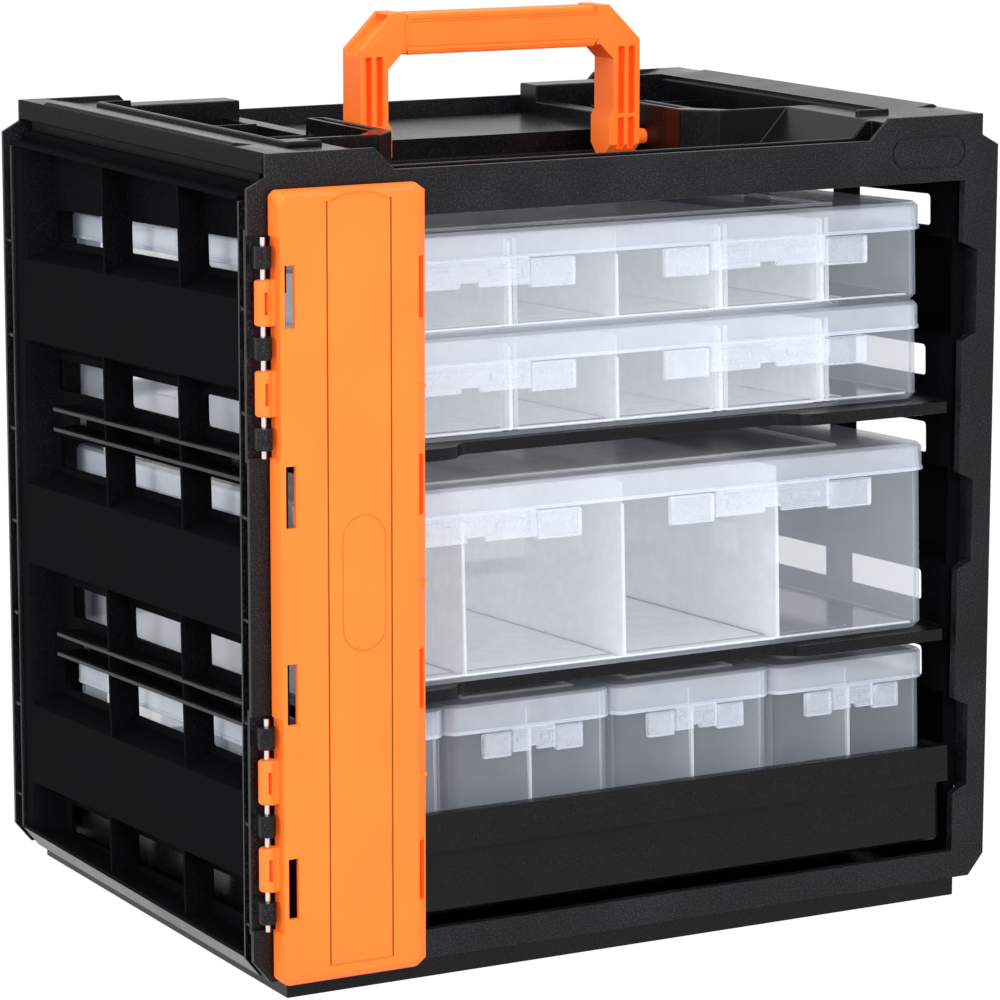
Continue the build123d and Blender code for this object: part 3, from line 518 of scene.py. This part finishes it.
def round_band(name, half, front, back, corner, height, thick, soft):
    """A band with round corners that runs once round a box, its outer face on the given outline."""
    piece = started(name, "plane", size=1.0, location=(0, 0, 0))
    bpy.ops.transform.resize(value=(2 * half, back - front, 1))
    bpy.ops.transform.translate(value=(0, (front + back) / 2, 0))
    bpy.ops.mesh.bevel(offset=corner, offset_type="OFFSET", segments=8, affect="VERTICES")
    bpy.ops.mesh.select_mode(type="EDGE")
    bpy.ops.mesh.select_all(action="SELECT")
    bpy.ops.mesh.delete(type="ONLY_FACE")
    bpy.ops.mesh.select_all(action="SELECT")
    bpy.ops.mesh.extrude_region_move(TRANSFORM_OT_translate={"value": (0, 0, height)})
    bpy.ops.mesh.select_all(action="SELECT")
    bpy.ops.mesh.normals_make_consistent(inside=False)
    bpy.ops.object.mode_set(mode="OBJECT")
    apply(piece, "SOLIDIFY", thickness=thick, offset=-1.0)
    apply(piece, "BEVEL", width=soft, segments=2, limit_method="ANGLE", angle_limit=math.radians(50))
    smooth(piece, 45)
    return piece


def stand(piece, place, tilt):
    """Turn a finished piece to the shelf's slope, move it to its place and keep it there."""
    only(piece)
    piece.rotation_euler = (-tilt, 0, 0)
    piece.location = place
    bpy.ops.object.transform_apply(location=True, rotation=True, scale=True)


# Places on the sloping shelves, in metres from the middle of the footprint

Place = namedtuple("Place", "side front base half height depth")


def shelf_height(level, depth):
    """Height of a level at a depth behind the front plate."""
    sizes = look("rack")
    level_depth = 20 * MM
    return sizes.first_level + level * sizes.pitch - (depth - level_depth) * math.tan(sizes.tilt)


def box_place(name):
    """Where a box or bin stands: its middle, its front lower edge, half its width, its height and depth."""
    sizes = look("rack")
    shelf_plate, gap = 2.5 * MM, 0.3 * MM
    if name in BINS:
        front, drawer_floor = 20 * MM, 10.47 * MM
        side = (BINS.index(name) - (len(BINS) - 1) / 2) * sizes.bin_pitch
        base = shelf_height(0, front) + drawer_floor
        return Place(side, front, base, sizes.bin_half, sizes.bin_height, sizes.bin_depth)
    if name == "deep_box":
        front = 10.5 * MM
        base = shelf_height(1, front) + shelf_plate + gap
        return Place(0, front, base, sizes.box_half, sizes.deep_height, sizes.deep_depth)
    front, step_back = 18.6 * MM, 1.2 * MM
    row = 1 if name == "top_box" else 0
    base = shelf_height(2, front) + shelf_plate + gap + row * (sizes.shallow_height + gap)
    return Place(0, front + row * step_back, base, sizes.box_half, sizes.shallow_height, sizes.shallow_depth)


def put_on_box(piece, name):
    place = box_place(name)
    stand(piece, (place.side, place.front - look("rack").depth / 2, place.base), look("rack").tilt)
    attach(piece, "drawer" if name in BINS else name)


# Trim of the boxes and bins

def lid_bead(name):
    """The rounded bead along the lower edge of a lid's skirt."""
    place = box_place(name)
    over, tall, thick, soft = 1.6 * MM, 1.9 * MM, 1.2 * MM, 0.45 * MM
    if name in BINS:
        corner, skirt, proud = 7.6 * MM, 15.2 * MM, 0.15 * MM
    else:
        corner, skirt, proud = 10.6 * MM, 14.2 * MM, 0.5 * MM
    past = over + proud
    bead = round_band(name + "_lid_bead", place.half + past, -past, place.depth + past, corner + proud,
                      tall, thick, soft)
    only(bead)
    bpy.ops.object.mode_set(mode="EDIT")
    bpy.ops.mesh.select_all(action="SELECT")
    bpy.ops.transform.translate(value=(0, 0, place.height - skirt))
    bpy.ops.object.mode_set(mode="OBJECT")
    put_on_box(bead, name)
    paint(bead, "clear_plastic", "lid_plastic")


def lugs(name):
    """The shells of the lugs on both sides of a box's latches."""
    place = box_place(name)
    if name in BINS:
        middles = (0.0,)
        latch_half, wide, tall, drop = 12.8 * MM, 15 * MM, 12 * MM, 15.8 * MM
    else:
        latch_inset = 94.5 * MM
        middles = (latch_inset - place.half, place.half - latch_inset)
        latch_half, wide, tall, drop = 34.3 * MM, 24.5 * MM, 14 * MM, 14.7 * MM
    edge, proud, seat, soft = 0.2 * MM, 4.2 * MM, 0.15 * MM, 0.9 * MM
    top = place.height - drop
    left = middles[0] - latch_half - wide - edge
    right = left + wide + 2 * edge
    shell = block(name + "_lugs", (left, -proud, top - tall - edge), (right, -seat, top), soft)
    bpy.ops.mesh.duplicate()
    bpy.ops.transform.translate(value=(2 * latch_half + wide, 0, 0))
    if len(middles) > 1:
        bpy.ops.mesh.select_all(action="SELECT")
        bpy.ops.mesh.duplicate()
        bpy.ops.transform.translate(value=(middles[1] - middles[0], 0, 0))
    bpy.ops.object.mode_set(mode="OBJECT")
    smooth(shell, 40)
    put_on_box(shell, name)
    paint(shell, "clear_plastic", "latch_plastic")


def painted_wall_highlights(name):
    """Strips of painted highlight, with a painted glow, for the light that shows in the front ends of a box's
    inner walls and along its floor.
    """
    place = box_place(name)
    low = 3.6 * MM
    if name in BINS:
        low = 2 * MM
        columns = [0]
    elif name == "deep_box":
        columns = [k * place.half / 2 for k in (-1, 0, 1)]
    else:
        columns = [k * place.half / 3 for k in range(-2, 3)]
    front, back = 0.3 * MM, 1.3 * MM
    half_wall, under_lid, end_soft = 0.75 * MM, 16 * MM, 0.25 * MM
    sill_inset, sill_drop, sill_rise, sill_soft = 10 * MM, 0.3 * MM, 0.6 * MM, 0.2 * MM
    # strips of painted highlight at the front ends of the inner walls
    ends = block(name + "_painted_wall_highlights", (-half_wall, front, low),
                 (half_wall, back, place.height - under_lid), end_soft)
    bpy.ops.transform.translate(value=(columns[0], 0, 0))
    for before, after in zip(columns, columns[1:]):
        bpy.ops.mesh.duplicate()
        bpy.ops.transform.translate(value=(after - before, 0, 0))
    bpy.ops.object.mode_set(mode="OBJECT")
    # a strip of painted highlight along the floor
    floor_highlight = block("floor_highlight", (sill_inset - place.half, front, low - sill_drop),
                 (place.half - sill_inset, back, low + sill_rise), sill_soft)
    bpy.ops.object.mode_set(mode="OBJECT")
    joined(ends, floor_highlight)
    put_on_box(ends, name)
    paint(ends, "clear_plastic", "edge_plastic")


def paint_lid(lid):
    """Give a lid's flat top a clearer look, painted darker where it is seen edge on as a painted reflection,
    and the frame that stands on it a brighter one from a painted glow.
    """
    def level(place):
        return place.z + place.y * math.tan(look("rack").tilt)

    half_frame, plate = 0.4 * MM, 1.2 * MM
    top = max(level(point.co) for point in lid.data.vertices) - half_frame
    # painted reflection: the flat top darkens where it is seen edge on
    paint_faces(lid, "lid_top",
                lambda face: face.normal.z > FACING and top - plate < level(face.center) < top)
    # painted glow on the raised frame
    paint_faces(lid, "lid_frame", lambda face: face.normal.z > -0.1 and level(face.center) > top)


def paint_tub(tub, last):
    """Give a wide box's floor and inner walls a bright look from a painted glow, and the floor past its last
    wall a clear one with a painted dark reflection where it is seen edge on.
    """
    inside = look("rack").box_half - 5 * MM
    # painted glow on the floors and inner walls, painted dark reflection on the floor past the last wall
    paint_faces(tub, "wall_plastic", lambda face: face.normal.z > FACING and face.center.x < last)
    paint_faces(tub, "floor_plastic", lambda face: face.normal.z > FACING and face.center.x > last)
    paint_faces(tub, "wall_plastic",
                lambda face: abs(face.normal.x) > FACING and abs(face.center.x) < inside)


# Trim of the case, the door and the handle

def runner_edges(side):
    """The outer edges of the ribs that run along a side wall under and over each shelf."""
    sizes = look("rack")
    start, run, proud = 14 * MM, 224 * MM, 3 * MM
    half_thick, rise, soft = 0.95 * MM, 5.2 * MM, 0.4 * MM
    outer = sizes.width / 2 - 1.9 * MM
    low = min(side * outer, side * (outer - proud))
    strips = []
    for level in (1, 2):
        for way in (-1, 1):
            strip = block("runner_edge", (low, start, -half_thick),
                          (low + proud, start + run, half_thick), soft)
            bpy.ops.object.mode_set(mode="OBJECT")
            stand(strip, (0, -sizes.depth / 2, shelf_height(level, 0) + way * rise), sizes.tilt)
            strips.append(strip)
    trim = joined(*strips)
    trim.name = "left_runner_edges" if side < 0 else "right_runner_edges"
    trim.data.name = trim.name
    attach(trim, "case")
    paint(trim, "black_plastic")


def paint_deck(deck):
    """Give the skirt at both sides of the top deck a duller finish than its top."""
    skirt = look("rack").width / 2 - 20 * MM
    sideways = 0.3
    paint_faces(deck, "satin_black",
                lambda face: abs(face.normal.x) > sideways and abs(face.center.x) > skirt)


def rear_header():
    """The rail over the opening of the back frame."""
    half, low, high = 161 * MM, 355 * MM, 373 * MM
    thick, seat, soft = 11.5 * MM, 0.3 * MM, 0.8 * MM
    back = look("rack").depth / 2
    rail = block("rear_header", (-half, back - thick, low), (half, back - seat, high), soft)
    bpy.ops.object.mode_set(mode="OBJECT")
    smooth(rail, 40)
    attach(rail, "case")
    paint(rail, "black_plastic")


def paint_door(door):
    """Give the door's slots a painted red glow, and the two long grooves beside its strip a darker tone as
    painted shade.
    """
    points = [point.co.copy() for point in door.data.vertices]
    left, right = (pick(point.x for point in points) for pick in (min, max))
    front = min(point.y for point in points)
    knuckles, border = 30 * MM, 10 * MM
    groove_top, groove_floor, groove_length = 0.05 * MM, 0.7 * MM, 150 * MM

    def in_slot(face):
        return face.normal.x < -FACING and left + knuckles < face.center.x < right

    def in_long_groove(face):
        heights = [points[index].z for index in face.vertices]
        return (groove_top < face.center.y - front < groove_floor
                and max(heights) - min(heights) > groove_length
                and left + border < face.center.x < right - border)

    # a painted red glow on the inner faces of the slots
    paint_faces(door, "orange_slot", in_slot)
    # painted shade in the two long grooves beside the strip
    paint_faces(door, "orange_groove", in_long_groove)


def grip_sleeve():
    """The flat-faced sleeve round the handle's bar, with a panel in a sunk line on its front and back."""
    half, thick, tall, middle = 57.6 * MM, 10.15 * MM, 20 * MM, 445.3 * MM
    soft, border, groove, panel_rise = 2.6 * MM, 0.9 * MM, 0.35 * MM, 0.4 * MM
    sleeve = started("grip_sleeve", "cube", size=1.0, location=(0, 0, 0))
    bpy.ops.transform.resize(value=(2 * half, 2 * thick, tall))
    bpy.ops.transform.translate(value=(0, 0, middle))
    bpy.ops.object.mode_set(mode="OBJECT")
    for edge in sleeve.data.edges:
        first, second = (sleeve.data.vertices[index].co for index in edge.vertices)
        edge.select = abs(first.x - second.x) > half
    for face in sleeve.data.polygons:
        face.select = False
    bpy.ops.object.mode_set(mode="EDIT")
    bpy.ops.mesh.bevel(offset=soft, offset_type="OFFSET", segments=5, affect="EDGES")
    bpy.ops.object.mode_set(mode="OBJECT")
    for face in sleeve.data.polygons:
        face.select = abs(face.normal.y) > 0.99
    bpy.ops.object.mode_set(mode="EDIT")
    bpy.ops.mesh.select_mode(type="FACE")
    bpy.ops.mesh.inset(thickness=border, depth=0.0, use_individual=True)
    bpy.ops.mesh.inset(thickness=groove, depth=-groove, use_individual=True)
    bpy.ops.mesh.inset(thickness=groove, depth=panel_rise, use_individual=True)
    bpy.ops.object.mode_set(mode="OBJECT")
    smooth(sleeve, 40)
    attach(sleeve, "handle")
    paint(sleeve, "orange_plastic")


# The stage

def seen_directly(nodes):
    """1 for camera, mirror and see-through rays, 0 for the light that reaches the object."""
    path = nodes.node("ShaderNodeLightPath")
    camera, mirror, through = (
        Val(nodes.tree, path.outputs["Is " + ray + " Ray"]) for ray in ("Camera", "Glossy", "Transmission")
    )
    return camera.math("MAXIMUM", mirror).math("MAXIMUM", through)


def backdrop_finish():
    """A pale floor that keeps the object's shadow and otherwise shows the plain backdrop."""
    shown = 0.955
    finish = Finish("backdrop")
    finish.set(Base_Color=(0.8, 0.8, 0.8, 1.0), Roughness=0.9)
    glow = finish.out("ShaderNodeEmission", 0, sockets={
        "Color": (*look("stage").backdrop, 1.0), "Strength": 1.05,
    })
    mixed = finish.out("ShaderNodeMixShader", 0, sockets={
        0: seen_directly(finish) * shown, 1: Val(finish.tree, finish.shader.outputs[0]), 2: glow,
    })
    finish.feed(finish.tree.nodes["Material Output"].inputs["Surface"], mixed)
    return finish.material


def world_light(scene):
    """A world that shows the backdrop, and lights the object less than it shows."""
    scene.world = bpy.data.worlds.new("studio")
    scene.world.use_nodes = True
    nodes = NodeTree(scene.world.node_tree)
    shown = nodes.tree.nodes["Background"]
    shown.inputs["Color"].default_value = (*look("stage").backdrop, 1.0)
    light = nodes.out("ShaderNodeBackground", 0, sockets={"Color": (1.0, 1.0, 1.0, 1.0), "Strength": 0.55})
    mixed = nodes.out("ShaderNodeMixShader", 0, sockets={
        0: seen_directly(nodes), 1: light, 2: Val(nodes.tree, shown.outputs[0]),
    })
    nodes.feed(nodes.tree.nodes["World Output"].inputs["Surface"], mixed)


def studio_floor():
    """A wide floor just under the feet of the rack."""
    size, below = 16.0, 0.0002
    bpy.ops.object.select_all(action="DESELECT")
    bpy.ops.mesh.primitive_plane_add(size=size, location=(0, 0, -below))
    floor = bpy.context.object
    floor.name = "studio_floor"
    floor.data.materials.append(backdrop_finish())


def area_lamp(name, power, size, place):
    """A square lamp that points at the middle of the object."""
    middle = Vector((0, 0, 0.2))
    data = bpy.data.lights.new(name, "AREA")
    data.energy = power * look("stage").lamp
    data.size = size
    lamp = bpy.data.objects.new(name, data)
    lamp.location = place
    lamp.rotation_euler = (middle - Vector(place)).to_track_quat("-Z", "Y").to_euler()
    bpy.context.scene.collection.objects.link(lamp)


def studio_camera(scene):
    """The camera of the main view: its place, its turn and its shifted frame."""
    data = bpy.data.cameras.new("camera")
    data.lens = look("stage").focal
    data.sensor_width = 36.0
    data.shift_x = 0.0359
    data.shift_y = -0.0186
    data.clip_end = 50.0
    camera = bpy.data.objects.new("camera", data)
    camera.location = (-1.0755, -1.9694, 0.6254)
    look_down, turn = 10.464, -28.26
    camera.rotation_euler = Euler((math.radians(90 - look_down), 0, math.radians(turn)))
    scene.collection.objects.link(camera)
    scene.camera = camera


# The operators

class ORGANIZER_OT_case(bpy.types.Operator):
    """Round and colour the black mouldings of the case"""
    bl_idname = "organizer.case"
    bl_label = "Case"

    def execute(self, context):
        edge = look("case").edge
        dress(named("front_frame", "back_frame"), edge)
        dress(named("base", "bottom_drawer", "upper_shelf", "lower_shelf"), edge, "smooth_black")
        paint_deck(moulded("top_deck", 2 * edge, "smooth_black", segments=3))
        dress(named("left_side", "right_side"), edge, "matt_black")
        runner_edges(-1)
        runner_edges(1)
        rear_header()
        return {"FINISHED"}


class ORGANIZER_OT_accents(bpy.types.Operator):
    """Round and colour the door and the handle"""
    bl_idname = "organizer.accents"
    bl_label = "Door and handle"

    def execute(self, context):
        edge = look("accent").edge
        dress(named("carry_handle"), edge)
        paint_door(moulded("door", 2 * edge, segments=3))
        grip_sleeve()
        for node in named("hinge_pin"):
            NODES[node].data.materials.clear()
            NODES[node].data.materials.append(finish_for("steel_pin"))
        return {"FINISHED"}


class ORGANIZER_OT_boxes(bpy.types.Operator):
    """Round and colour the frosted boxes and bins"""
    bl_idname = "organizer.boxes"
    bl_label = "Boxes and bins"

    def execute(self, context):
        edge = look("clear").edge
        half = look("rack").box_half
        for node in named("top_box", "middle_box", "deep_box", "bin_"):
            if "latch" in node:
                moulded(node, edge, "latch_plastic")
            elif "lid" in node:
                paint_lid(moulded(node, edge, "lid_plastic"))
            elif "dividers" in node:
                # the dividers get the painted glow of the inner walls
                moulded(node, edge, "wall_plastic")
            elif node.startswith("bin"):
                moulded(node, edge)
            else:
                paint_tub(moulded(node, edge), half / 2 if node.startswith("deep") else half / 1.5)
        for name in WIDE_BOXES + BINS:
            lid_bead(name)
            lugs(name)
            painted_wall_highlights(name)
        return {"FINISHED"}


class ORGANIZER_OT_stage(bpy.types.Operator):
    """Add the floor, the lamps, the world and the camera"""
    bl_idname = "organizer.stage"
    bl_label = "Stage"

    def execute(self, context):
        studio_floor()
        world_light(context.scene)
        area_lamp("front_lamp", power=50, size=1.6, place=(-0.5, -2.6, 1.3))
        area_lamp("top_lamp", power=22, size=1.4, place=(0.1, -0.2, 2.4))
        area_lamp("left_lamp", power=26, size=1.2, place=(-2.4, -0.6, 1.2))
        studio_camera(context.scene)
        context.scene.view_settings.view_transform = "Standard"
        context.scene.cycles.transparent_max_bounces = 48
        return {"FINISHED"}


class ORGANIZER_PT_panel(bpy.types.Panel):
    """Lists the groups of pieces and the stage"""
    bl_idname = "ORGANIZER_PT_panel"
    bl_label = "Tool Organizer"
    bl_space_type = "VIEW_3D"
    bl_region_type = "UI"
    bl_category = "Organizer"

    def draw(self, context):
        column = self.layout.column()
        for name, group in LOOKS.items():
            for field in group.__annotations__:
                column.prop(look(name), field)
        for operator in OPERATORS:
            column.operator(operator.bl_idname)


OPERATORS = (ORGANIZER_OT_case, ORGANIZER_OT_accents, ORGANIZER_OT_boxes, ORGANIZER_OT_stage)


def register():
    for group in (*LOOKS.values(), *OPERATORS, ORGANIZER_PT_panel):
        bpy.utils.register_class(group)
    for name, group in LOOKS.items():
        setattr(bpy.types.Scene, "organizer_" + name, bpy.props.PointerProperty(type=group))


def unregister():
    for name in LOOKS:
        delattr(bpy.types.Scene, "organizer_" + name)
    for group in (ORGANIZER_PT_panel, *reversed(OPERATORS), *reversed(LOOKS.values())):
        bpy.utils.unregister_class(group)


def main():
    register()
    for operator in OPERATORS:
        family, name = operator.bl_idname.split(".")
        getattr(getattr(bpy.ops, family), name)()


if __name__ == "__main__":
    main()
